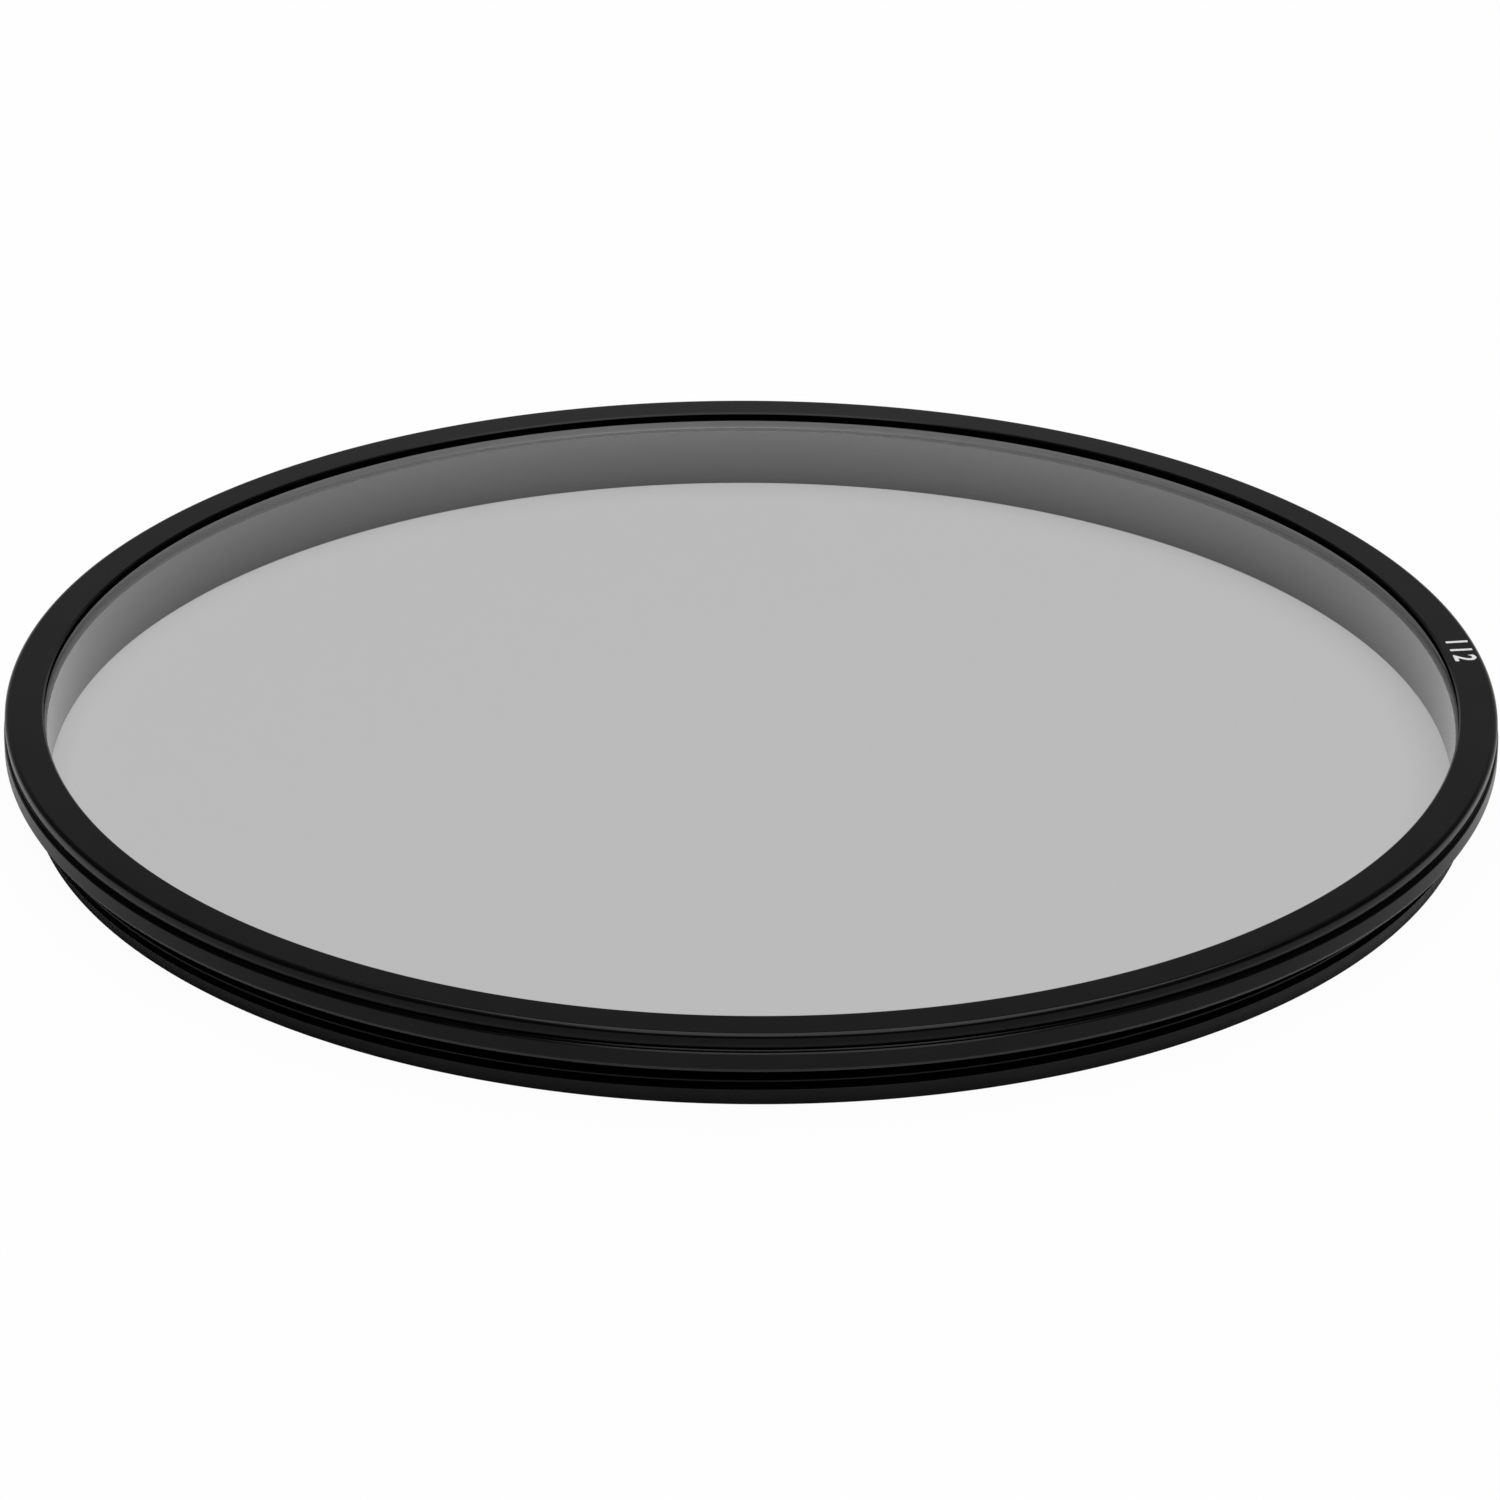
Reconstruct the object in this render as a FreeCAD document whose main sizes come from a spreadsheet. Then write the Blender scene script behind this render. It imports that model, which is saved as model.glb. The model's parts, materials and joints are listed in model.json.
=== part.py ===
import FreeCAD, Part
import os
import Sketcher

# A screw-in neutral density filter for a large wide-angle lens.
# Two turned aluminium rings clamp a tinted glass disc between them. The filter stands on its rear
# face, with the optical axis on +Z and the origin at the centre of that face. Sizes are in millimetres.

SHEET = "sizes"

# Driving sizes, each with the words that explain it.
SIZES = {
    # The rear end, which screws into the lens.
    "thread_diameter": (112.0, "outside diameter of the male lens thread"),
    "spigot_length": (3.5, "rear face to the underside of the flange"),
    "spigot_wall": (1.8, "thread crest to the plain inner wall"),
    "runout_width": (0.5, "height of the run-out groove under the flange"),
    "runout_depth": (0.7, "depth of the run-out groove below the thread crest"),
    "lead_height": (1.3, "height of the tapered lead-in at the start of the thread"),
    "lead_inset": (0.44, "how far that taper cuts in at the rear face"),
    "rear_bore_chamfer": (0.1, "broken inner edge of the rear face"),
    # The flange, which the fingers hold.
    "flange_height": (1.53, "underside of the flange to its shoulder"),
    "flange_step": (0.1, "how far the flange stands out past the front ring"),
    "flange_top_chamfer": (0.2, "upper edge of the flange"),
    "flange_foot_bevel": (0.28, "height of the bevel at the lower edge of the flange"),
    "flange_foot_inset": (0.15, "how far that bevel cuts in under the flange"),
    # The seat and collar round the glass.
    "seat_width": (0.75, "width of the ledge that the glass lies on"),
    "collar_wall": (1.2, "wall of the collar round the glass"),
    "collar_headroom": (0.05, "gap between the collar and the lip above it"),
    # The glass.
    "glass_thickness": (1.0, "thickness of the glass disc"),
    "glass_clearance": (0.05, "gap between the rim of the glass and its seat, all round"),
    "glass_bevel": (0.1, "ground edges of the glass"),
    # The front ring, which clamps the glass.
    "front_rim_height": (1.23, "front face to the top of the shadow gap"),
    "front_edge_round": (0.42, "rounding of the rim's upper edge"),
    "rim_foot_round": (0.6, "rounding of the rim's lower edge, above the shadow gap"),
    "gap_height": (0.17, "height of the shadow gap above the flange"),
    "gap_depth": (0.75, "depth of the shadow gap"),
    "lip_thickness": (0.6, "front face to the glass"),
    "lip_overhang": (0.6, "how far the lip reaches in over the seat's bore"),
    "lip_chamfer": (0.15, "inner edge of the front face"),
    "skirt_wall": (0.4, "wall of the skirt behind the shadow gap"),
    "skirt_clearance": (0.05, "gap between the skirt and the collar, all round"),
}

# Two edges are the same edge when their sizes agree to this length.
MATCH = 1e-4

# The two ways to break an edge, each with the property that holds its size.
EDGE_SIZE = {"Chamfer": "Size", "Fillet": "Radius"}


class Size:
    """A length that knows both its value and the formula that gives it from the sheet."""

    def __init__(self, value, formula):
        self.value = value
        self.formula = formula

    def __add__(self, other):
        return Size(self.value + other.value, f"{self.formula} + {other.formula}")

    def __sub__(self, other):
        return Size(self.value - other.value, f"{self.formula} - ({other.formula})")

    def half(self):
        return Size(self.value / 2, f"({self.formula}) / 2")


def make_sheet(doc):
    """Write the driving sizes to the sheet and return each one by its name."""
    sheet = doc.addObject("Spreadsheet::Sheet", SHEET)
    sizes = {}
    for row, (name, (value, meaning)) in enumerate(SIZES.items(), start=1):
        sheet.set(f"A{row}", meaning)
        sheet.set(f"B{row}", str(value))
        sheet.setAlias(f"B{row}", name)
        sizes[name] = Size(value, f"{SHEET}.{name}")
    doc.recompute()
    return sizes


def new_body(doc, label):
    """Start a sub-part, whose label is its file's name."""
    body = doc.addObject("PartDesign::Body", label)
    body.Label = label
    return body


def origin_plane(body, role):
    """One of the body's own origin planes."""
    return next(feature for feature in body.Origin.OriginFeatures if feature.Role == role)


def new_sketch(body, name, role):
    """An empty sketch on one of the body's origin planes."""
    sketch = body.newObject("Sketcher::SketchObject", name)
    sketch.AttachmentSupport = [(origin_plane(body, role), "")]
    sketch.MapMode = "FlatFace"
    return sketch


def bind(sketch, kind, first, second, size):
    """Add one dimension to a sketch and tie it to the sheet."""
    index = sketch.addConstraint(Sketcher.Constraint(kind, *first, *second, size.value))
    sketch.setExpression(f"Constraints[{index}]", size.formula)


def draw_section(body, name, corners):
    """A closed section on the XZ plane; each corner is its radius and its height."""
    sketch = new_sketch(body, name, "XZ_Plane")
    points = [FreeCAD.Vector(radius.value, height.value, 0) for radius, height in corners]
    count = len(points)
    for index in range(count):
        sketch.addGeometry(Part.LineSegment(points[index], points[(index + 1) % count]), False)
    for index in range(count):
        after = (index + 1) % count
        sketch.addConstraint(Sketcher.Constraint("Coincident", index, 2, after, 1))
    for index, (radius, height) in enumerate(corners):
        bind(sketch, "DistanceX", (-1, 1), (index, 1), radius)
        bind(sketch, "DistanceY", (-1, 1), (index, 1), height)
    return sketch


def turn(body, kind, name, corners):
    """Turn a section about the optical axis, to add it to the body or to cut it away."""
    sketch = draw_section(body, f"{name}_section", corners)
    feature = body.newObject(f"PartDesign::{kind}", name)
    feature.Profile = sketch
    feature.ReferenceAxis = (sketch, ["V_Axis"])
    feature.Angle = 360
    body.Document.recompute()
    return feature


def break_edge(body, kind, name, radius, height, size):
    """Chamfer or round the circular edge of the body that lies at a radius and a height."""
    base = body.Tip
    edges = []
    for number, edge in enumerate(base.Shape.Edges, start=1):
        curve = edge.Curve
        if not isinstance(curve, Part.Circle):
            continue
        if abs(curve.Radius - radius.value) < MATCH and abs(curve.Center.z - height.value) < MATCH:
            edges.append(f"Edge{number}")
    if len(edges) != 1:
        raise ValueError(f"{name}: {len(edges)} edges at the place of one")
    feature = body.newObject(f"PartDesign::{kind}", name)
    feature.Base = (base, edges)
    setattr(feature, EDGE_SIZE[kind], size.value)
    feature.setExpression(EDGE_SIZE[kind], size.formula)
    body.Document.recompute()
    return feature


def radii(size):
    """The radii that the pieces share, each from the one that it is next to."""
    thread = size["thread_diameter"].half()
    wall = thread - size["spigot_wall"]
    seat = wall + size["seat_width"]
    collar = seat + size["collar_wall"]
    skirt = collar + size["skirt_clearance"]
    gap = skirt + size["skirt_wall"]
    front = gap + size["gap_depth"]
    return {
        "thread": thread,
        "wall": wall,
        "seat": seat,
        "glass": seat - size["glass_clearance"],
        "lip": seat - size["lip_overhang"],
        "collar": collar,
        "skirt": skirt,
        "gap": gap,
        "front": front,
        "flange": front + size["flange_step"],
    }


def heights(size):
    """The heights that the pieces share, from the rear face up."""
    shoulder = size["spigot_length"] + size["flange_height"]
    gap_top = shoulder + size["gap_height"]
    face = gap_top + size["front_rim_height"]
    glass_top = face - size["lip_thickness"]
    return {
        "rear": Size(0.0, "0 mm"),
        "flange_foot": size["spigot_length"],
        "shoulder": shoulder,
        "seat": glass_top - size["glass_thickness"],
        "collar_top": glass_top - size["collar_headroom"],
    }


def make_frame_ring(doc, size, radius, height):
    """The main frame: threaded spigot, flange, collar and the seat for the glass."""
    body = new_body(doc, "frame_ring")
    turn(body, "Revolution", "frame_blank", [
        (radius["wall"], height["rear"]),
        (radius["thread"], height["rear"]),
        (radius["thread"], height["flange_foot"]),
        (radius["flange"], height["flange_foot"]),
        (radius["flange"], height["shoulder"]),
        (radius["collar"], height["shoulder"]),
        (radius["collar"], height["collar_top"]),
        (radius["seat"], height["collar_top"]),
        (radius["seat"], height["seat"]),
        (radius["wall"], height["seat"]),
    ])
    runout_floor = radius["thread"] - size["runout_depth"]
    runout_foot = height["flange_foot"] - size["runout_width"]
    turn(body, "Groove", "thread_runout", [
        (runout_floor, runout_foot),
        (radius["thread"], runout_foot),
        (radius["thread"], height["flange_foot"]),
        (runout_floor, height["flange_foot"]),
    ])
    turn(body, "Groove", "lead_in", [
        (radius["thread"] - size["lead_inset"], height["rear"]),
        (radius["thread"], height["rear"]),
        (radius["thread"], size["lead_height"]),
    ])
    turn(body, "Groove", "flange_foot_edge", [
        (radius["flange"] - size["flange_foot_inset"], height["flange_foot"]),
        (radius["flange"], height["flange_foot"]),
        (radius["flange"], height["flange_foot"] + size["flange_foot_bevel"]),
    ])
    for name, edge_radius, edge_height, edge_size in (
        ("rear_bore_edge", radius["wall"], height["rear"], size["rear_bore_chamfer"]),
        ("flange_top_edge", radius["flange"], height["shoulder"], size["flange_top_chamfer"]),
    ):
        break_edge(body, "Chamfer", name, edge_radius, edge_height, edge_size)
    return body


def make_front_ring(doc, size, radius, height):
    """The front clamp ring, drawn from its foot up and stood on the frame's shoulder."""
    body = new_body(doc, "front_ring")
    foot = Size(0.0, "0 mm")
    face = size["gap_height"] + size["front_rim_height"]
    lip_under = face - size["lip_thickness"]
    turn(body, "Revolution", "front_blank", [
        (radius["skirt"], foot),
        (radius["front"], foot),
        (radius["front"], face),
        (radius["lip"], face),
        (radius["lip"], lip_under),
        (radius["skirt"], lip_under),
    ])
    turn(body, "Groove", "shadow_gap", [
        (radius["gap"], foot),
        (radius["front"], foot),
        (radius["front"], size["gap_height"]),
        (radius["gap"], size["gap_height"]),
    ])
    break_edge(body, "Fillet", "front_edge", radius["front"], face, size["front_edge_round"])
    break_edge(body, "Fillet", "rim_foot", radius["front"], size["gap_height"], size["rim_foot_round"])
    break_edge(body, "Chamfer", "lip_edge", radius["lip"], face, size["lip_chamfer"])
    body.setExpression("Placement.Base.z", height["shoulder"].formula)
    return body


def make_nd_glass(doc, size, radius, height):
    """The glass disc, drawn from its rear face up and laid on the frame's seat."""
    body = new_body(doc, "nd_glass")
    sketch = new_sketch(body, "glass_outline", "XY_Plane")
    centre = FreeCAD.Vector(0, 0, 0)
    up = FreeCAD.Vector(0, 0, 1)
    sketch.addGeometry(Part.Circle(centre, up, radius["glass"].value), False)
    sketch.addConstraint(Sketcher.Constraint("Coincident", 0, 3, -1, 1))
    index = sketch.addConstraint(Sketcher.Constraint("Radius", 0, radius["glass"].value))
    sketch.setExpression(f"Constraints[{index}]", radius["glass"].formula)
    disc = body.newObject("PartDesign::Pad", "glass_disc")
    disc.Profile = sketch
    disc.setExpression("Length", size["glass_thickness"].formula)
    doc.recompute()
    rear = Size(0.0, "0 mm")
    break_edge(body, "Chamfer", "rear_bevel", radius["glass"], rear, size["glass_bevel"])
    break_edge(body, "Chamfer", "front_bevel", radius["glass"], size["glass_thickness"], size["glass_bevel"])
    body.setExpression("Placement.Base.z", height["seat"].formula)
    return body


def check(doc, bodies):
    """Stop if any object failed to rebuild or any sub-part is not one sound solid."""
    for thing in doc.Objects:
        if "Invalid" in thing.State or "Error" in thing.State:
            raise RuntimeError(f"{thing.Label} failed: {thing.State}")
    for body in bodies:
        shape = body.Shape
        if shape.isNull() or not shape.isValid() or len(shape.Solids) != 1:
            raise RuntimeError(f"{body.Label} is not one sound solid")


def main():
    """Build the filter and write each piece to its own file."""
    doc = FreeCAD.newDocument("nd_filter")
    size = make_sheet(doc)
    radius = radii(size)
    height = heights(size)
    bodies = [
        make_frame_ring(doc, size, radius, height),
        make_nd_glass(doc, size, radius, height),
        make_front_ring(doc, size, radius, height),
    ]
    doc.recompute()
    check(doc, bodies)
    os.makedirs("parts", exist_ok=True)
    for body in bodies:
        box = body.Shape.optimalBoundingBox()
        body.Shape.exportStep(f"parts/{body.Label}.step")
        print(f"{body.Label}: volume {body.Shape.Volume:.2f}, heights {box.ZMin:.3f} to {box.ZMax:.3f}, "
              f"width {box.XLength:.3f}")


main()
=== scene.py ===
"""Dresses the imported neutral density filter: two turned rings, a cut thread, grey glass and a plain studio.

Lengths are in metres. The optical axis is Z, the rear face lies on the floor at height zero, and the camera
looks along +Y.
"""

import json
import logging
import math
from abc import ABC, abstractmethod
from collections.abc import Callable, Mapping, Sequence
from dataclasses import dataclass
from enum import Enum
from typing import NamedTuple

import bpy
from mathutils import Matrix, Vector


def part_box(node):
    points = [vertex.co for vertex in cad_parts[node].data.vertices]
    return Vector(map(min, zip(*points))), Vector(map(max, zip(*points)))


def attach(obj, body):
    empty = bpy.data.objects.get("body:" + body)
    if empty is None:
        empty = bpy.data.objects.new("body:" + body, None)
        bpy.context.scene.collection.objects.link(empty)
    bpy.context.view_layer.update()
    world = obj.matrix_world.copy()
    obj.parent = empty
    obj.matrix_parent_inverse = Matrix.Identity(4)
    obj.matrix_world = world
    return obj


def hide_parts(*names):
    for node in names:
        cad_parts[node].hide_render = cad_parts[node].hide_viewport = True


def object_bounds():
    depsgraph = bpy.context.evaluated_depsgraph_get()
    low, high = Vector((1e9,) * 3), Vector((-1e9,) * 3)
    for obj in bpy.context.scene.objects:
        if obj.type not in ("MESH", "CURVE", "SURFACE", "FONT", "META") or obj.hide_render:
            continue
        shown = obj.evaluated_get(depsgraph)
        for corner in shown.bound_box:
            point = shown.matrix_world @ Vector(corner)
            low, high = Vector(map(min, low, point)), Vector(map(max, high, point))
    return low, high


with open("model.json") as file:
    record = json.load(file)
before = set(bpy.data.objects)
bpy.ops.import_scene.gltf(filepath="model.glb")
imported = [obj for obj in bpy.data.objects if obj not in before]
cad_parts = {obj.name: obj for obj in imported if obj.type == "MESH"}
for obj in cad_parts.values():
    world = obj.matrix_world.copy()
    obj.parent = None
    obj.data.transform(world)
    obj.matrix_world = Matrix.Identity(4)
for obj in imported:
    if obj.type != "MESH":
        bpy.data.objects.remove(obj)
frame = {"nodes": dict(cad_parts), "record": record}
CAD_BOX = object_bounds()

LOG = logging.getLogger("filter")
MM = 0.001
BODY = "root"
FRONT_NODE = "front_ring"
FRAME_NODE = "frame_ring"
GLASS_NODE = "nd_glass"
THREAD_MOUNT = "lens_thread"

Point = tuple[float, float]
Colour = tuple[float, float, float, float]
Faces = list[list[int]]


def grey(level: float) -> Colour:
    """An even grey."""
    return (level, level, level, 1.0)


def unit(number: float) -> float:
    """A number kept between 0 and 1."""
    return min(max(number, 0.0), 1.0)


def polar(radius: float, angle: float, height: float) -> Vector:
    """The point at a radius, an angle and a height round the optical axis."""
    return Vector((radius * math.cos(angle), radius * math.sin(angle), height))


def add_object(name: str, data: bpy.types.ID) -> bpy.types.Object:
    """Puts a mesh, a curve, a lamp or a camera into the scene.

    Args:
        name: the object's name.
        data: what it holds.

    Returns:
        The new object.
    """
    made = bpy.data.objects.new(name, data)
    bpy.context.scene.collection.objects.link(made)
    return made


class Corner(NamedTuple):
    """A corner of a turned outline, and how far from it the rounding of its edge begins."""

    radius: float
    height: float
    ease: float = 0.025 * MM


class Value:
    """A number that changes over a surface: a socket whose operators add Math nodes."""

    def __init__(self, graph: "Graph", socket: bpy.types.NodeSocket) -> None:
        """Keeps the socket and the graph that it belongs to."""
        self.graph = graph
        self.socket = socket

    def math(self, operation: str, first: "Value | float", second: "Value | float") -> "Value":
        """Adds one Math node.

        Args:
            operation: the node's operation.
            first: its first value.
            second: its second value.

        Returns:
            The node's result.
        """
        return self.graph.value("ShaderNodeMath", {"operation": operation}, {0: first, 1: second})

    def __add__(self, other: "Value | float") -> "Value":
        """This value plus another."""
        return self.math("ADD", self, other)

    def __radd__(self, other: float) -> "Value":
        """A number plus this value."""
        return self.math("ADD", other, self)

    def __sub__(self, other: "Value | float") -> "Value":
        """This value less another."""
        return self.math("SUBTRACT", self, other)

    def __rsub__(self, other: float) -> "Value":
        """A number less this value."""
        return self.math("SUBTRACT", other, self)

    def __mul__(self, other: "Value | float") -> "Value":
        """This value times another."""
        return self.math("MULTIPLY", self, other)

    def __rmul__(self, other: float) -> "Value":
        """A number times this value."""
        return self.math("MULTIPLY", other, self)

    def greater(self, other: "Value | float") -> "Value":
        """The greater of this value and another."""
        return self.math("MAXIMUM", self, other)

    def lesser(self, other: "Value | float") -> "Value":
        """The lesser of this value and another."""
        return self.math("MINIMUM", self, other)

    def under(self, other: "Value | float") -> "Value":
        """One where this value is less than another, and otherwise zero."""
        return self.math("LESS_THAN", self, other)


class Graph:
    """The node tree of one material or of the world."""

    FACTOR, FIRST_COLOUR, SECOND_COLOUR, MIXED_COLOUR = 0, 6, 7, 2
    NOISE_DETAIL, NOISE_MIDDLE = 2.0, 0.5

    def __init__(self, tree: bpy.types.NodeTree) -> None:
        """Empties the tree and keeps it."""
        self.tree = tree
        self.tree.nodes.clear()

    def node(
        self,
        kind: str,
        settings: Mapping[str, object] | None = None,
        sockets: Mapping[str | int, object] | None = None,
    ) -> bpy.types.Node:
        """Adds a node, sets it up and feeds its sockets.

        Args:
            kind: the node's type.
            settings: the node's own properties, set first.
            sockets: a value, or a link from another node, for each named or numbered input.

        Returns:
            The new node.
        """
        made = self.tree.nodes.new(kind)
        for name, setting in (settings or {}).items():
            setattr(made, name, setting)
        for key, given in (sockets or {}).items():
            source = given.socket if isinstance(given, Value) else given
            if isinstance(source, bpy.types.NodeSocket):
                self.tree.links.new(source, made.inputs[key])
            else:
                made.inputs[key].default_value = source
        return made

    def value(
        self,
        kind: str,
        settings: Mapping[str, object] | None = None,
        sockets: Mapping[str | int, object] | None = None,
        output: str | int = 0,
    ) -> Value:
        """Adds a node and wraps one of its outputs.

        Args:
            kind: the node's type.
            settings: the node's own properties.
            sockets: its inputs.
            output: the output that is wanted.

        Returns:
            That output as a value.
        """
        return Value(self, self.node(kind, settings, sockets).outputs[output])

    def read(self, node: bpy.types.Node, *names: str) -> list[Value]:
        """Some of a node's outputs as values."""
        return [Value(self, node.outputs[name]) for name in names]

    def noise(self, place: bpy.types.NodeSocket, size: float) -> Value:
        """Adds a soft random pattern.

        Args:
            place: the coordinates that it is laid out in.
            size: the width of one of its patches.

        Returns:
            A value from 0 to 1.
        """
        pattern = {"Vector": place, "Scale": 1.0 / size, "Detail": self.NOISE_DETAIL}
        return self.value("ShaderNodeTexNoise", sockets=pattern)

    def mix(self, share: Value, first: Colour, second: Colour) -> bpy.types.NodeSocket:
        """Adds a Mix node for two colours.

        Args:
            share: how much of the second colour shows.
            first: the colour at 0.
            second: the colour at 1.

        Returns:
            The mixed colour.
        """
        colours = {self.FACTOR: share, self.FIRST_COLOUR: first, self.SECOND_COLOUR: second}
        return self.node("ShaderNodeMix", {"data_type": "RGBA"}, colours).outputs[self.MIXED_COLOUR]

    def output(self, shader: bpy.types.Node) -> None:
        """Links a shader to the material's output."""
        self.node("ShaderNodeOutputMaterial", sockets={"Surface": shader.outputs[0]})


def new_material(name: str) -> tuple[bpy.types.Material, Graph]:
    """Makes an empty node material.

    Args:
        name: the material's name.

    Returns:
        The material and its graph.
    """
    material = bpy.data.materials.new(name)
    material.use_nodes = True
    return material, Graph(material.node_tree)


@dataclass(frozen=True)
class Finish(ABC):
    """A surface finish; each kind adds a shader of its own."""

    name: str

    def material(self) -> bpy.types.Material:
        """Makes the material.

        Returns:
            A new material with the finish's shader.
        """
        material, graph = new_material(self.name)
        graph.output(self.shader(graph, graph.node("ShaderNodeTexCoord").outputs["Object"]))
        return material

    @abstractmethod
    def shader(self, graph: Graph, place: bpy.types.NodeSocket) -> bpy.types.Node:
        """Adds the shader's nodes.

        Args:
            graph: the material's graph.
            place: the point of the surface, in the piece's own coordinates.

        Returns:
            The node that the surface takes.
        """


@dataclass(frozen=True)
class AnodisedFinish(Finish):
    """Dyed anodising on turned aluminium: a fine blasted grain over faint rings from the lathe, and, where it
    is set, painted light that lightens the colour with height.
    """

    colour: Colour = (0.0012, 0.0012, 0.0013, 1.0)
    # The second colour serves random wear, and also painted light where the share below is set.
    worn_colour: Colour = (0.0034, 0.0034, 0.0036, 1.0)
    metallic: float = 0.0
    specular: float = 0.15
    roughness: float = 0.21
    roughness_spread: float = 0.08
    grain_size: float = 0.07 * MM
    cloud_size: float = 6.0 * MM
    ring_pitch: float = 0.06 * MM
    ring_detail: float = 1.0
    ring_share: float = 0.3
    relief: float = 0.002 * MM
    relief_strength: float = 0.6
    # The next two fields paint light: over this height, this share of the blend turns towards the second
    # colour.
    fade_height: float = 5.0 * MM
    fade_share: float = 0.0
    coat: float = 0.0
    coat_roughness: float = 0.3

    def shader(self, graph: Graph, place: bpy.types.NodeSocket) -> bpy.types.Node:
        """Adds the shader's nodes.

        Args:
            graph: the material's graph.
            place: the point of the surface, in the piece's own coordinates.

        Returns:
            The node that the surface takes.
        """
        axes = graph.node("ShaderNodeSeparateXYZ", sockets={0: place})
        flat = graph.node("ShaderNodeCombineXYZ", sockets={"X": axes.outputs["X"], "Y": axes.outputs["Y"]})
        radius = graph.value("ShaderNodeVectorMath", {"operation": "LENGTH"}, {0: flat.outputs[0]}, "Value")
        (height,) = graph.read(axes, "Z")
        grain = graph.noise(place, self.grain_size)
        cloud = graph.noise(place, self.cloud_size)
        rings = graph.value(
            "ShaderNodeTexNoise",
            {"noise_dimensions": "1D"},
            {"W": radius + height, "Scale": 1.0 / self.ring_pitch, "Detail": self.ring_detail},
        )
        relief = grain * (1 - self.ring_share) + rings * self.ring_share
        # Random wear tone, plus painted light that grows lighter with height.
        wear_and_painted_light = cloud * grain * (1 - self.fade_share) + height * (self.fade_share / self.fade_height)
        bump = graph.node(
            "ShaderNodeBump",
            sockets={"Strength": self.relief_strength, "Distance": self.relief, "Height": relief},
        )
        return graph.node(
            "ShaderNodeBsdfPrincipled",
            sockets={
                "Base Color": graph.mix(wear_and_painted_light, self.colour, self.worn_colour),
                "Metallic": self.metallic,
                "Roughness": self.roughness + (cloud - graph.NOISE_MIDDLE) * self.roughness_spread,
                "Specular IOR Level": self.specular,
                "Coat Weight": self.coat,
                "Coat Roughness": self.coat_roughness,
                "Normal": bump.outputs[0],
            },
        )


@dataclass(frozen=True)
class GlassFinish(Finish):
    """Neutral grey glass that lets light straight through, with a gloss on it and the odd speck of dust."""

    passed: float = 0.85
    index: float = 1.45
    roughness: float = 0.015
    smear: float = 0.02
    smear_size: float = 12.0 * MM
    dust_spacing: float = 9.0 * MM
    dust_radius: float = 0.05 * MM
    dust_colour: Colour = grey(0.22)

    def shader(self, graph: Graph, place: bpy.types.NodeSocket) -> bpy.types.Node:
        """Adds the shader's nodes.

        Args:
            graph: the material's graph.
            place: the point of the surface, in the piece's own coordinates.

        Returns:
            The node that the surface takes.
        """
        smear = graph.noise(place, self.smear_size)
        through = graph.node("ShaderNodeBsdfTransparent", sockets={"Color": grey(self.passed)})
        gloss = graph.node(
            "ShaderNodeBsdfGlossy", sockets={"Roughness": self.roughness + smear * self.smear}
        )
        inside = graph.value("ShaderNodeNewGeometry", output="Backfacing")
        mirror = graph.value("ShaderNodeFresnel", sockets={"IOR": self.index}) * (1 - inside)
        clear = graph.node(
            "ShaderNodeMixShader", sockets={0: mirror, 1: through.outputs[0], 2: gloss.outputs[0]}
        )
        nearest = graph.value(
            "ShaderNodeTexVoronoi", sockets={"Vector": place, "Scale": 1.0 / self.dust_spacing}
        )
        speck = nearest.under(self.dust_radius / self.dust_spacing)
        dust = graph.node("ShaderNodeBsdfDiffuse", sockets={"Color": self.dust_colour})
        return graph.node(
            "ShaderNodeMixShader", sockets={0: speck, 1: clear.outputs[0], 2: dust.outputs[0]}
        )


@dataclass(frozen=True)
class GroundEdgeFinish(Finish):
    """The ground edge of the glass, which mirrors light and glows with painted light in place of the light
    that the disc leads to it.
    """

    fine_colour: Colour = grey(0.30)
    coarse_colour: Colour = grey(0.24)
    led_light: float = 0.30
    metallic: float = 0.9
    roughness: float = 0.45
    grain_size: float = 0.05 * MM
    relief: float = 0.004 * MM

    def shader(self, graph: Graph, place: bpy.types.NodeSocket) -> bpy.types.Node:
        """Adds the shader's nodes.

        Args:
            graph: the material's graph.
            place: the point of the surface, in the piece's own coordinates.

        Returns:
            The node that the surface takes.
        """
        grain = graph.noise(place, self.grain_size)
        grey = graph.mix(grain, self.fine_colour, self.coarse_colour)
        bump = graph.node("ShaderNodeBump", sockets={"Distance": self.relief, "Height": grain})
        return graph.node(
            "ShaderNodeBsdfPrincipled",
            sockets={
                "Base Color": grey,
                "Metallic": self.metallic,
                "Roughness": self.roughness,
                # Painted glow: the edge gives off its own grey as light, though it is no lamp.
                "Emission Color": grey,
                "Emission Strength": self.led_light,
                "Normal": bump.outputs[0],
            },
        )


@dataclass(frozen=True)
class PrintFinish(Finish):
    """White print on the anodising, a little uneven where the ink is thin."""

    thick_colour: Colour = (0.80, 0.80, 0.79, 1.0)
    thin_colour: Colour = (0.62, 0.62, 0.61, 1.0)
    roughness: float = 0.5
    patch: float = 0.25 * MM

    def shader(self, graph: Graph, place: bpy.types.NodeSocket) -> bpy.types.Node:
        """Adds the shader's nodes.

        Args:
            graph: the material's graph.
            place: the point of the surface, in the piece's own coordinates.

        Returns:
            The node that the surface takes.
        """
        ink = graph.mix(graph.noise(place, self.patch), self.thin_colour, self.thick_colour)
        return graph.node(
            "ShaderNodeBsdfPrincipled", sockets={"Base Color": ink, "Roughness": self.roughness}
        )


class FrameZone(Enum):
    """The frame's finishes; the number is the material's place on the mesh."""

    MAIN = 0
    TURNED = 1
    THIN = 2
    EDGE = 3
    LIGHT_PATH = 4
    SEAT = 5


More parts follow.
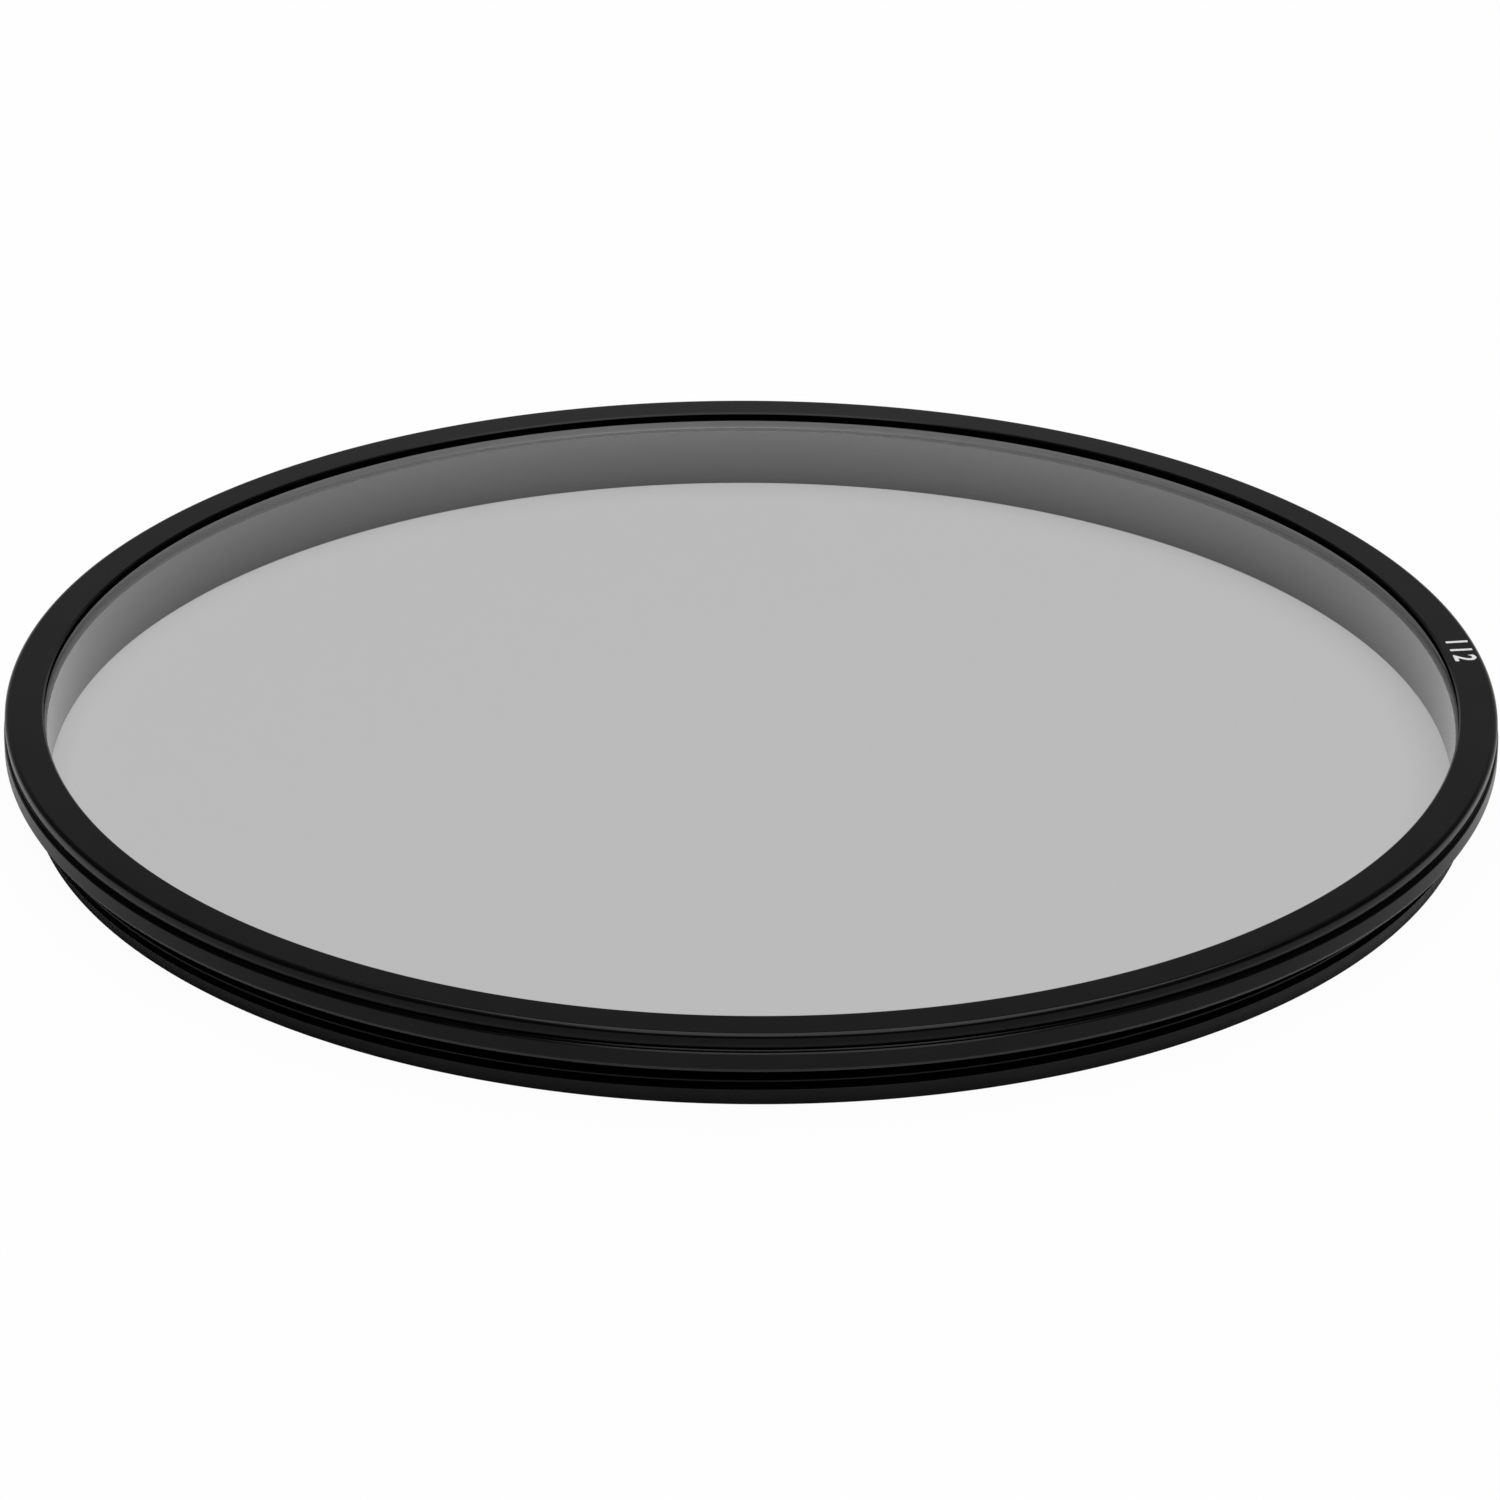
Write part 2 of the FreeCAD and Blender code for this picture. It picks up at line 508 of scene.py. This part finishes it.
class RingZone(Enum):
    """The front ring's finishes; the number is the material's place on the mesh."""

    MAIN = 0
    LIP = 1


class GlassZone(Enum):
    """The glass's finishes; the number is the material's place on the mesh."""

    FACE = 0
    EDGE = 1
    INKED = 2


SATIN_BLACK = AnodisedFinish("satin_black_anodising")
# Painted sheen: a lighter colour on the outer walls stands in for lamp light that a fine texture would
# reflect.
OUTER_WALL_PAINTED_SHEEN = AnodisedFinish(
    "outer_wall_painted_sheen",
    colour=(0.0105, 0.0105, 0.0107, 1.0),
    worn_colour=(0.0175, 0.0175, 0.0178, 1.0),
    specular=0.10,
)
# Painted light: a lighter colour on the lead-in taper stands in for floor light that it reflects.
LEAD_IN_PAINTED_LIGHT = AnodisedFinish(
    "lead_in_painted_light",
    colour=(0.0135, 0.0135, 0.0139, 1.0),
    worn_colour=(0.031, 0.031, 0.0317, 1.0),
)
# Painted highlight: a lighter colour on the flange's lower bevel stands in for a thin line of reflected
# light.
EDGE_PAINTED_HIGHLIGHT = AnodisedFinish(
    "edge_painted_highlight",
    colour=(0.022, 0.022, 0.0225, 1.0),
    worn_colour=(0.052, 0.052, 0.053, 1.0),
)
# Painted light: a near-white metallic colour on the seat under the glass's edge stands in for the light that
# the glass leads to it.
SEAT_PAINTED_LIGHT = AnodisedFinish(
    "seat_painted_light",
    colour=grey(0.86),
    worn_colour=grey(0.92),
    metallic=0.9,
    roughness=0.4,
)
MATT_BLACK = AnodisedFinish(
    "matt_lip_anodising",
    colour=grey(0.0008),
    worn_colour=grey(0.0020),
    specular=0.0,
    roughness=0.6,
)
# Painted light: the wall behind the glass gets a light metallic colour that grows lighter towards the glass,
# in place of the light that falls on it.
INNER_WALL_PAINTED_LIGHT = AnodisedFinish(
    "inner_wall_painted_light",
    colour=grey(0.085),
    worn_colour=grey(0.32),
    metallic=0.9,
    roughness=0.35,
    fade_share=0.85,
    coat=1.0,
    coat_roughness=0.15,
)
GREY_GLASS = GlassFinish("neutral_grey_glass")
GLASS_EDGE_PAINTED_GLOW = GroundEdgeFinish("ground_glass_edge_painted_glow")
WHITE_PRINT = PrintFinish("white_print")


@dataclass(frozen=True)
class Lathe:
    """Turns outlines into meshes, with every corner eased as a tool leaves it."""

    steps: int = 480
    ease_steps: int = 3
    ease_detail: float = 0.03 * MM
    edge_share: float = 0.9
    sharp_angle: float = math.radians(50.0)

    def eased(self, outline: list[Corner], closed: bool) -> list[Point]:
        """Rounds the corners of an outline.

        Args:
            outline: corners with the solid on the left hand.
            closed: whether the last corner joins the first; otherwise both ends stay as they are.

        Returns:
            The outline with an arc at each corner.
        """
        points: list[Point] = []
        last = len(outline) - 1
        for place, corner in enumerate(outline):
            if not closed and place in (0, last):
                points.append(corner[:2])
                continue
            here = Vector(corner[:2])
            before = Vector(outline[place - 1][:2]) - here
            after = Vector(outline[(place + 1) % len(outline)][:2]) - here
            cut = min(corner.ease, self.edge_share * before.length, self.edge_share * after.length)
            start = here + before.normalized() * cut
            end = here + after.normalized() * cut
            weight = math.sin(0.5 * before.angle(after))
            steps = max(self.ease_steps, round(corner.ease / self.ease_detail))
            for step in range(steps + 1):
                share = step / steps
                first, middle, final = (1 - share) ** 2, 2 * share * (1 - share) * weight, share**2
                point = (first * start + middle * here + final * end) / (first + middle + final)
                points.append((point.x, point.y))
        return points

    def joined(self, lower: list[int], upper: list[int]) -> Faces:
        """The faces between two rows of points.

        Args:
            lower: the row that comes first along the outline.
            upper: the row that follows it.

        Returns:
            A face for each step round the axis; points that fall together count once.
        """
        faces: Faces = []
        for step in range(self.steps):
            onward = (step + 1) % self.steps
            loop = [lower[step], lower[onward], upper[onward], upper[step]]
            faces.append(list(dict.fromkeys(loop)))
        return faces

    def turned(self, outline: list[Point], closed: bool) -> tuple[list[Vector], Faces]:
        """Sweeps an outline once round the axis.

        Args:
            outline: points as radius and height; a point on the axis becomes one vertex.
            closed: whether the last point joins the first.

        Returns:
            The vertices and the faces, which look away from the solid.
        """
        vertices: list[Vector] = []
        rows: list[list[int]] = []
        for radius, height in outline:
            if radius == 0.0:
                rows.append([len(vertices)] * self.steps)
                vertices.append(Vector((0.0, 0.0, height)))
                continue
            rows.append(list(range(len(vertices), len(vertices) + self.steps)))
            for step in range(self.steps):
                vertices.append(polar(radius, math.tau * step / self.steps, height))
        faces: Faces = []
        for number in range(len(rows) if closed else len(rows) - 1):
            faces.extend(self.joined(rows[number], rows[(number + 1) % len(rows)]))
        return vertices, faces

    def piece(self, name: str, vertices: list[Vector], faces: Faces) -> bpy.types.Object:
        """Makes a smooth-shaded object from vertices and faces.

        Args:
            name: the piece's name.
            vertices: its points.
            faces: the numbers of each face's points.

        Returns:
            The object, in the scene.
        """
        mesh = bpy.data.meshes.new(name)
        mesh.from_pydata(vertices, [], faces)
        mesh.validate()
        mesh.shade_smooth()
        mesh.set_sharp_from_angle(angle=self.sharp_angle)
        made = add_object(name, mesh)
        weighted = made.modifiers.new("even shading", "WEIGHTED_NORMAL")
        weighted.keep_sharp = True
        return made


def dress(
    piece: bpy.types.Object, finishes: Sequence[Finish], zone: Callable[[bpy.types.MeshPolygon], Enum]
) -> None:
    """Gives a piece its finishes.

    Args:
        piece: the piece.
        finishes: the finishes, in the order of the zones' numbers.
        zone: which zone a face lies in.
    """
    for finish in finishes:
        piece.data.materials.append(finish.material())
    for face in piece.data.polygons:
        face.material_index = zone(face).value


def fit(piece: bpy.types.Object, node: str) -> bpy.types.Object:
    """Puts a finished piece in the place of its CAD node.

    Args:
        piece: the piece.
        node: the node that it stands for.

    Returns:
        The piece.
    """
    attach(piece, BODY)
    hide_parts(node)
    LOG.info("%s stands for %s with %d faces", piece.name, node, len(piece.data.polygons))
    return piece


def inner_radius(node: str) -> float:
    """The smallest radius that a node reaches.

    Args:
        node: the node's name.

    Returns:
        Its distance from the optical axis.
    """
    return min(math.hypot(point.co.x, point.co.y) for point in frame["nodes"][node].data.vertices)


def thread_crest() -> float:
    """The crest radius of the lens thread, from the record's mount."""
    mount = next(m for m in frame["record"]["mounts"] if m["name"] == THREAD_MOUNT)
    return mount["dims"]["r_mm"] * MM


@dataclass
class FrontRing:
    """The clamp ring that holds the glass: a flat face, an inner lip and a skirt over the collar."""

    lathe: Lathe
    edge_round: float = 0.38 * MM
    foot_inset: float = 0.12 * MM
    foot_rise: float = 0.36 * MM
    foot_ease: float = 0.1 * MM
    mouth_height: float = 0.31 * MM
    lip_thickness: float = 0.6 * MM
    lip_chamfer: float = 0.15 * MM
    skin: float = 0.02 * MM
    gap_height: float = 0.17 * MM
    gap_depth: float = 0.75 * MM
    skirt_wall: float = 0.4 * MM
    bead_height: float = 0.15 * MM
    bead_inset: float = 0.10 * MM
    bead_undercut: float = 0.06 * MM
    bead_foot: float = 0.04 * MM
    bead_bevel_height: float = 0.10 * MM
    bead_bevel_inset: float = 0.08 * MM
    slot: str = "black_anodised_front"

    def __post_init__(self) -> None:
        """Reads the ring's main sizes from the CAD part."""
        low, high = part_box(FRONT_NODE)
        self.rim: float = high.x
        self.foot: float = low.z
        self.face: float = high.z
        self.lip: float = inner_radius(FRONT_NODE)

    def outline(self) -> list[Corner]:
        """The ring's section.

        Returns:
            Corners from the bead in the shadow gap, up round the outside and down to the skirt's foot.
        """
        gap = self.rim - self.gap_depth
        skirt = gap - self.skirt_wall
        mouth = self.foot + self.mouth_height
        clamp = self.face - self.lip_thickness
        bead = self.rim - self.bead_inset
        bead_top = self.foot + self.bead_height
        return [
            Corner(bead - self.bead_undercut, self.foot),
            Corner(bead, self.foot + self.bead_foot),
            Corner(bead, bead_top - self.bead_bevel_height),
            Corner(bead - self.bead_bevel_inset, bead_top),
            Corner(gap, bead_top),
            Corner(gap, self.foot + self.gap_height),
            Corner(self.rim - self.foot_inset, mouth),
            Corner(self.rim, mouth + self.foot_rise, self.foot_ease),
            Corner(self.rim, self.face, self.edge_round),
            Corner(self.lip + self.lip_chamfer, self.face),
            Corner(self.lip, self.face - self.lip_chamfer),
            Corner(self.lip, clamp),
            Corner(skirt, clamp),
            Corner(skirt, self.foot),
        ]

    def build(self) -> bpy.types.Object:
        """Turns the ring and dresses it.

        Returns:
            The piece.
        """
        outline = self.lathe.eased(self.outline(), closed=True)
        piece = self.lathe.piece("front_clamp_ring", *self.lathe.turned(outline, closed=True))
        dress(piece, (SATIN_BLACK, MATT_BLACK), self.zone)
        return fit(piece, FRONT_NODE)

    def zone(self, face: bpy.types.MeshPolygon) -> RingZone:
        """Which finish a face takes.

        Args:
            face: a face of the ring.

        Returns:
            The matt finish for the inside of the lip, and otherwise the main one.
        """
        on_lip = math.hypot(face.center.x, face.center.y) < self.lip + self.skin
        return RingZone.LIP if on_lip else RingZone.MAIN


@dataclass
class ThreadedFrame:
    """The frame: a male thread, a run-out groove, a flange to grip, and a seat and collar for the glass."""

    lathe: Lathe
    pitch: float = 1.0 * MM
    first_crest: float = 0.58 * MM
    start_turn: float = 0.25
    run_in: float = 0.06
    turns_below: int = 2
    pilot_share: float = 0.25
    pilot_fade: float = 0.2
    samples: int = 16
    depth_share: float = 0.6134
    crest_share: float = 1.0 / 8.0
    root_share: float = 1.0 / 4.0
    lead_height: float = 1.3 * MM
    lead_inset: float = 0.44 * MM
    bore_chamfer: float = 0.1 * MM
    runout_width: float = 0.5 * MM
    runout_depth: float = 0.7 * MM
    flange_height: float = 1.53 * MM
    flange_foot_bevel: float = 0.30 * MM
    flange_foot_inset: float = 0.16 * MM
    flange_top_bevel: float = 0.12 * MM
    flange_top_inset: float = 0.11 * MM
    skin: float = 0.02 * MM
    seat_width: float = 0.75 * MM
    collar_wall: float = 1.2 * MM
    slot: str = "black_anodised"

    def __post_init__(self) -> None:
        """Reads the frame's main sizes from the CAD part."""
        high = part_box(FRAME_NODE)[1]
        self.crest: float = thread_crest()
        self.rim: float = high.x
        self.collar_top: float = high.z
        self.bore: float = inner_radius(FRAME_NODE)
        self.seat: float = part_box(GLASS_NODE)[0].z
        self.shoulder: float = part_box(FRONT_NODE)[0].z
        self.flange_foot: float = self.shoulder - self.flange_height
        self.thread_top: float = self.flange_foot - self.runout_width

    def thread_radius(self, height: float, turn: float) -> float:
        """The thread's radius at one point.

        Args:
            height: distance from the rear face.
            turn: share of a turn round the axis from where the groove runs in, counter-clockwise.

        Returns:
            Distance from the axis, with a tapered land from the rear edge up to the first groove.
        """
        phase = (height - self.first_crest) / self.pitch - turn
        groove = math.floor(phase)
        wound = groove + turn
        pilot = self.pilot_share * unit((1.0 - wound) / self.pilot_fade)
        off_crest = min(phase - groove - pilot, groove + 1 - phase)
        flank = 0.5 - 0.5 * (self.crest_share + self.root_share)
        fallen = unit((off_crest - 0.5 * self.crest_share) / flank)
        cut = unit(wound / self.run_in)
        form = self.crest - self.depth_share * self.pitch * fallen * cut
        return min(form, self.envelope(height))

    def envelope(self, height: float) -> float:
        """The radius that the frame's outside has at a height, before grooves and edges are cut.

        Args:
            height: distance from the rear face.

        Returns:
            The tapered lead-in and the thread's crest below the flange, and the flange's wall above that.
        """
        if height > self.flange_foot:
            return self.rim
        return self.crest - self.lead_inset * max(1.0 - height / self.lead_height, 0.0)

    def back(self) -> list[Corner]:
        """The section apart from the thread.

        Returns:
            Corners from the thread's top edge over the flange to its bottom edge.
        """
        groove = self.crest - self.runout_depth
        seat_bore = self.bore + self.seat_width
        collar = seat_bore + self.collar_wall
        return [
            Corner(groove, self.thread_top),
            Corner(groove, self.flange_foot),
            Corner(self.rim - self.flange_foot_inset, self.flange_foot),
            Corner(self.rim, self.flange_foot + self.flange_foot_bevel),
            Corner(self.rim, self.shoulder - self.flange_top_bevel),
            Corner(self.rim - self.flange_top_inset, self.shoulder),
            Corner(collar, self.shoulder),
            Corner(collar, self.collar_top),
            Corner(seat_bore, self.collar_top),
            Corner(seat_bore, self.seat),
            Corner(self.bore, self.seat),
            Corner(self.bore, self.bore_chamfer),
            Corner(self.bore + self.bore_chamfer, 0.0),
        ]

    def build(self) -> bpy.types.Object:
        """Turns the frame, cuts its thread and dresses it.

        Returns:
            The piece.
        """
        vertices, faces = self.lathe.turned(self.lathe.eased(self.back(), closed=False), closed=False)
        back_points = list(range(len(vertices)))
        low_row = self.edge_row(vertices, 0.0)
        high_row = self.edge_row(vertices, self.thread_top)
        faces.extend(self.lathe.joined(high_row, back_points[: self.lathe.steps]))
        faces.extend(self.lathe.joined(back_points[-self.lathe.steps :], low_row))
        self.cut_thread(vertices, faces, low_row, high_row)
        piece = self.lathe.piece("threaded_frame_ring", vertices, faces)
        dress(piece, (SATIN_BLACK, OUTER_WALL_PAINTED_SHEEN, LEAD_IN_PAINTED_LIGHT, EDGE_PAINTED_HIGHLIGHT, INNER_WALL_PAINTED_LIGHT, SEAT_PAINTED_LIGHT), self.zone)
        return fit(piece, FRAME_NODE)

    def zone(self, face: bpy.types.MeshPolygon) -> FrameZone:
        """Which finish a face takes.

        Args:
            face: a face of the frame.

        Returns:
            The painted-light finish for the wall behind the glass, the painted-light seat under the glass's
            edge, the painted highlight for the flange's lower edge, the painted-light one for the lead-in,
            the painted sheen for the outer walls, and otherwise the main one.
        """
        radius = math.hypot(face.center.x, face.center.y)
        if radius < self.bore + self.skin:
            return FrameZone.LIGHT_PATH
        if abs(face.center.z - self.seat) < self.skin and radius < self.bore + self.seat_width:
            return FrameZone.SEAT
        above_foot = face.center.z - self.flange_foot
        if face.normal.z < 0.0 and 0.0 < above_foot < self.flange_foot_bevel:
            return FrameZone.EDGE
        outer = radius > self.envelope(face.center.z) - self.skin
        if outer and face.center.z < self.first_crest + self.pitch:
            return FrameZone.THIN
        return FrameZone.TURNED if outer else FrameZone.MAIN

    def edge_row(self, vertices: list[Vector], height: float) -> list[int]:
        """Adds the ring of points where the thread meets a flat face.

        Args:
            vertices: the frame's points, which it adds to.
            height: the face's height.

        Returns:
            The new points' numbers, once round.
        """
        first = len(vertices)
        for step in range(self.lathe.steps):
            vertices.append(self.thread_point(height, step))
        return list(range(first, len(vertices)))

    def thread_point(self, height: float, step: int) -> Vector:
        """A point of the thread.

        Args:
            height: distance from the rear face.
            step: which of the lathe's steps round the axis.

        Returns:
            The point.
        """
        turn = step / self.lathe.steps
        radius = self.thread_radius(height, (turn - self.start_turn) % 1.0)
        return polar(radius, math.tau * turn, height)

    def cut_thread(
        self, vertices: list[Vector], faces: Faces, low_row: list[int], high_row: list[int]
    ) -> None:
        """Adds the thread's faces, in lines that climb with the helix, so that crests and roots stay crisp.

        Args:
            vertices: the frame's points, which it adds to.
            faces: the frame's faces, which it adds to.
            low_row: the points where the thread meets the rear face.
            high_row: the points where it meets the run-out groove.
        """
        steps = self.lathe.steps
        rise = self.pitch / self.samples
        start = self.first_crest - self.turns_below * self.pitch
        lines = math.ceil((self.thread_top - start) / rise) + 1
        half_crest = 0.5 * self.crest_share * self.pitch
        columns: list[list[int]] = []
        for step in range(steps):
            column: list[int] = []
            for line in range(lines):
                height = start - half_crest + rise * line + self.pitch * (step / steps - self.start_turn)
                if height <= 0.0:
                    column.append(low_row[step])
                elif height >= self.thread_top:
                    column.append(high_row[step])
                else:
                    column.append(len(vertices))
                    vertices.append(self.thread_point(height, step))
            columns.append(column)
        for step in range(steps):
            here = columns[step]
            following = columns[(step + 1) % steps]
            skip = self.samples if step == steps - 1 else 0
            for line in range(lines - 1):
                ahead = [min(number + skip, lines - 1) for number in (line, line + 1)]
                loop = [here[line], following[ahead[0]], following[ahead[1]], here[line + 1]]
                corners = list(dict.fromkeys(loop))
                if len(corners) > 2:
                    faces.append(corners)


@dataclass
class GlassDisc:
    """The plane disc of neutral grey glass, with a ground edge whose top band under the lip is black."""

    lathe: Lathe
    bevel: float = 0.1 * MM
    ink_height: float = 0.36 * MM
    face_slope: float = 0.99
    slot: str = "grey_glass"

    def __post_init__(self) -> None:
        """Reads the disc's main sizes from the CAD part."""
        low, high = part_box(GLASS_NODE)
        self.radius: float = high.x
        self.rear: float = low.z
        self.front: float = high.z
        self.ink_foot: float = self.front - self.ink_height

    def outline(self) -> list[Corner]:
        """The disc's section.

        Returns:
            Corners from the middle of the rear face round the edge to the middle of the front.
        """
        return [
            Corner(0.0, self.rear),
            Corner(self.radius - self.bevel, self.rear),
            Corner(self.radius, self.rear + self.bevel),
            Corner(self.radius, self.ink_foot),
            Corner(self.radius, self.front - self.bevel),
            Corner(self.radius - self.bevel, self.front),
            Corner(0.0, self.front),
        ]

    def build(self) -> bpy.types.Object:
        """Grinds the disc and dresses it.

        Returns:
            The piece.
        """
        outline = self.lathe.eased(self.outline(), closed=False)
        piece = self.lathe.piece("grey_glass_disc", *self.lathe.turned(outline, closed=False))
        dress(piece, (GREY_GLASS, GLASS_EDGE_PAINTED_GLOW, MATT_BLACK), self.zone)
        return fit(piece, GLASS_NODE)

    def zone(self, face: bpy.types.MeshPolygon) -> GlassZone:
        """Which finish a face takes.

        Args:
            face: a face of the disc.

        Returns:
            The clear finish for the two plane faces, the black one for the top band of the edge, and the
            ground one with its painted glow for the rest of the edge.
        """
        if abs(face.normal.z) > self.face_slope:
            return GlassZone.FACE
        return GlassZone.INKED if face.center.z > self.ink_foot else GlassZone.EDGE


@dataclass
class SizeMark:
    """The thread's diameter in millimetres, as a small white print on the front face."""

    azimuth: float = math.radians(7.4)
    digit_height: float = 1.7 * MM
    font_share: float = 0.7
    digit_step: float = 1.5 * MM
    stroke_growth: float = 0.05 * MM
    thickness: float = 0.006 * MM

    def build(self) -> bpy.types.Object:
        """Prints the digits one by one round the face.

        Returns:
            The piece.
        """
        digits = str(round(2 * thread_crest() / MM))
        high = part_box(FRONT_NODE)[1]
        middle = 0.5 * (high.x + inner_radius(FRONT_NODE))
        vertices: list[Vector] = []
        faces: Faces = []
        for place, digit in enumerate(digits):
            ahead = (place - 0.5 * (len(digits) - 1)) * self.digit_step
            angle = self.azimuth - ahead / middle
            spot = Matrix.Translation(polar(middle, angle, high.z))
            turned = spot @ Matrix.Rotation(angle - 0.5 * math.pi, 4, "Z")
            shape = self.digit(digit)
            first = len(vertices)
            vertices.extend(turned @ point.co for point in shape.vertices)
            faces.extend([first + number for number in face.vertices] for face in shape.polygons)
            bpy.data.meshes.remove(shape)
        mesh = bpy.data.meshes.new("size_mark")
        mesh.from_pydata(vertices, [], faces)
        mesh.materials.append(WHITE_PRINT.material())
        piece = add_object("size_mark", mesh)
        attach(piece, BODY)
        LOG.info("%s reads %s on the front face", piece.name, digits)
        return piece

    def digit(self, text: str) -> bpy.types.Mesh:
        """The flat shape of one digit, with its base line towards the axis.

        Args:
            text: the digit.

        Returns:
            A mesh centred on the origin, standing just proud of the face.
        """
        curve = bpy.data.curves.new("digit", "FONT")
        curve.body = text
        curve.align_x = "CENTER"
        curve.align_y = "CENTER"
        curve.size = self.digit_height / self.font_share
        curve.extrude = 0.5 * self.thickness
        curve.offset = self.stroke_growth
        holder = add_object("digit", curve)
        bpy.context.view_layer.update()
        flat = holder.evaluated_get(bpy.context.evaluated_depsgraph_get())
        shape = bpy.data.meshes.new_from_object(flat)
        shape.transform(Matrix.Translation((0.0, 0.0, 0.5 * self.thickness)))
        bpy.data.objects.remove(holder)
        bpy.data.curves.remove(curve)
        return shape


@dataclass(frozen=True)
class Softbox:
    """A rectangular studio lamp that hangs level above the filter."""

    name: str
    offset: tuple[float, float, float]
    width: float
    depth: float
    power: float

    def place(self, target: Vector) -> None:
        """Hangs the lamp.

        Args:
            target: the point that its offset is measured from.
        """
        lamp = bpy.data.lights.new(self.name, "AREA")
        lamp.shape = "RECTANGLE"
        lamp.size = self.width
        lamp.size_y = self.depth
        lamp.energy = self.power
        add_object(self.name, lamp).location = target + Vector(self.offset)


@dataclass
class Studio:
    """The pale floor, the soft light and the camera."""

    floor_half: float = 4.0
    floor_colour: Colour = grey(0.64)
    paper_white: float = 0.97
    white_under_glass: float = 0.48
    room_light: float = 0.04
    softbox: Softbox = Softbox("overhead softbox", (0.16, -0.20, 1.2), width=1.15, depth=1.8, power=23.0)
    focal_pixels: float = 6469.7
    image_pixels: float = 1500.0
    sensor: float = 36.0
    clip_start: float = 0.01
    distance: float = 0.49948
    elevation: float = math.radians(25.0501)
    yaw: float = -0.00016
    pitch: float = -0.01015
    roll: float = 0.00622

    def build(self) -> None:
        """Sets up everything around the filter."""
        bpy.context.scene.view_settings.view_transform = "Standard"
        face = Vector((0.0, 0.0, CAD_BOX[1].z))
        self.floor()
        self.world()
        self.softbox.place(face)
        self.camera(face)

    def whiteness(self, graph: Graph) -> Value:
        """How much of the floor's look is plain white, for the kind of ray that meets it.

        Args:
            graph: the floor's graph.

        Returns:
            A share that is high where the camera sees the floor, lower through glass, and zero for light.
        """
        path = graph.node("ShaderNodeLightPath")
        straight, mirrored, layers = graph.read(path, "Is Camera Ray", "Is Glossy Ray", "Transparent Depth")
        shaded = layers.lesser(1.0)
        beside = straight * (1 - shaded) * self.paper_white
        return beside + straight.greater(mirrored) * shaded * self.white_under_glass

    def floor(self) -> None:
        """Lays a pale floor that looks white and still takes the filter's shadow."""
        half = self.floor_half
        corners = [(-half, -half, 0.0), (half, -half, 0.0), (half, half, 0.0), (-half, half, 0.0)]
        mesh = bpy.data.meshes.new("floor")
        mesh.from_pydata(corners, [], [[0, 1, 2, 3]])
        material, graph = new_material("pale_floor")
        card = graph.node("ShaderNodeBsdfDiffuse", sockets={"Color": self.floor_colour})
        white = graph.node("ShaderNodeEmission")
        shader = graph.node(
            "ShaderNodeMixShader",
            sockets={0: self.whiteness(graph), 1: card.outputs[0], 2: white.outputs[0]},
        )
        graph.output(shader)
        mesh.materials.append(material)
        floor = add_object("floor", mesh)

    def world(self) -> None:
        """Makes a dim room with a white wall behind the filter, which the camera, gloss and glass see."""
        world = bpy.data.worlds.new("studio")
        world.use_nodes = True
        bpy.context.scene.world = world
        graph = Graph(world.node_tree)
        path = graph.node("ShaderNodeLightPath")
        straight, mirrored = graph.read(path, "Is Camera Ray", "Is Glossy Ray")
        (through,) = graph.read(path, "Is Transmission Ray")
        ray = graph.node("ShaderNodeTexCoord").outputs["Generated"]
        ahead, upward = graph.read(graph.node("ShaderNodeSeparateXYZ", sockets={0: ray}), "Y", "Z")
        behind = ahead.greater(0.0)
        below = 1 - upward
        narrow = behind * behind
        wall = narrow * narrow * below * below
        white = straight.greater(through).greater(mirrored * wall)
        sky = graph.node(
            "ShaderNodeBackground",
            sockets={
                "Color": grey(1.0),
                "Strength": self.room_light + white * (1 - self.room_light),
            },
        )
        graph.node("ShaderNodeOutputWorld", sockets={"Surface": sky.outputs[0]})

    def camera(self, target: Vector) -> None:
        """Sets the camera at the photograph's angle.

        Args:
            target: the middle of the filter's front face.
        """
        lens = bpy.data.cameras.new("camera")
        lens.sensor_width = self.sensor
        lens.lens = self.focal_pixels * self.sensor / self.image_pixels
        lens.clip_start = self.clip_start
        away = Vector((0.0, -math.cos(self.elevation), math.sin(self.elevation)))
        right = Vector((1.0, 0.0, 0.0))
        ahead = -away + math.tan(self.yaw) * right + math.tan(self.pitch) * right.cross(-away)
        ahead.normalize()
        level = ahead.cross(Vector((0.0, 0.0, 1.0))).normalized()
        up = level.cross(ahead)
        side = math.cos(self.roll) * level + math.sin(self.roll) * up
        top = math.cos(self.roll) * up - math.sin(self.roll) * level
        holder = add_object("camera", lens)
        turn = Matrix((side, top, -ahead)).transposed().to_4x4()
        holder.matrix_world = Matrix.Translation(target + self.distance * away) @ turn
        bpy.context.scene.camera = holder


def main() -> None:
    """Builds the pieces in the order in which they are put together, then the studio."""
    logging.basicConfig(level=logging.INFO, format="%(name)s: %(message)s")
    lathe = Lathe()
    for part in (ThreadedFrame(lathe), GlassDisc(lathe), FrontRing(lathe), SizeMark(), Studio()):
        part.build()
        LOG.info("%s is in place", type(part).__name__)


if __name__ == "__main__":
    main()
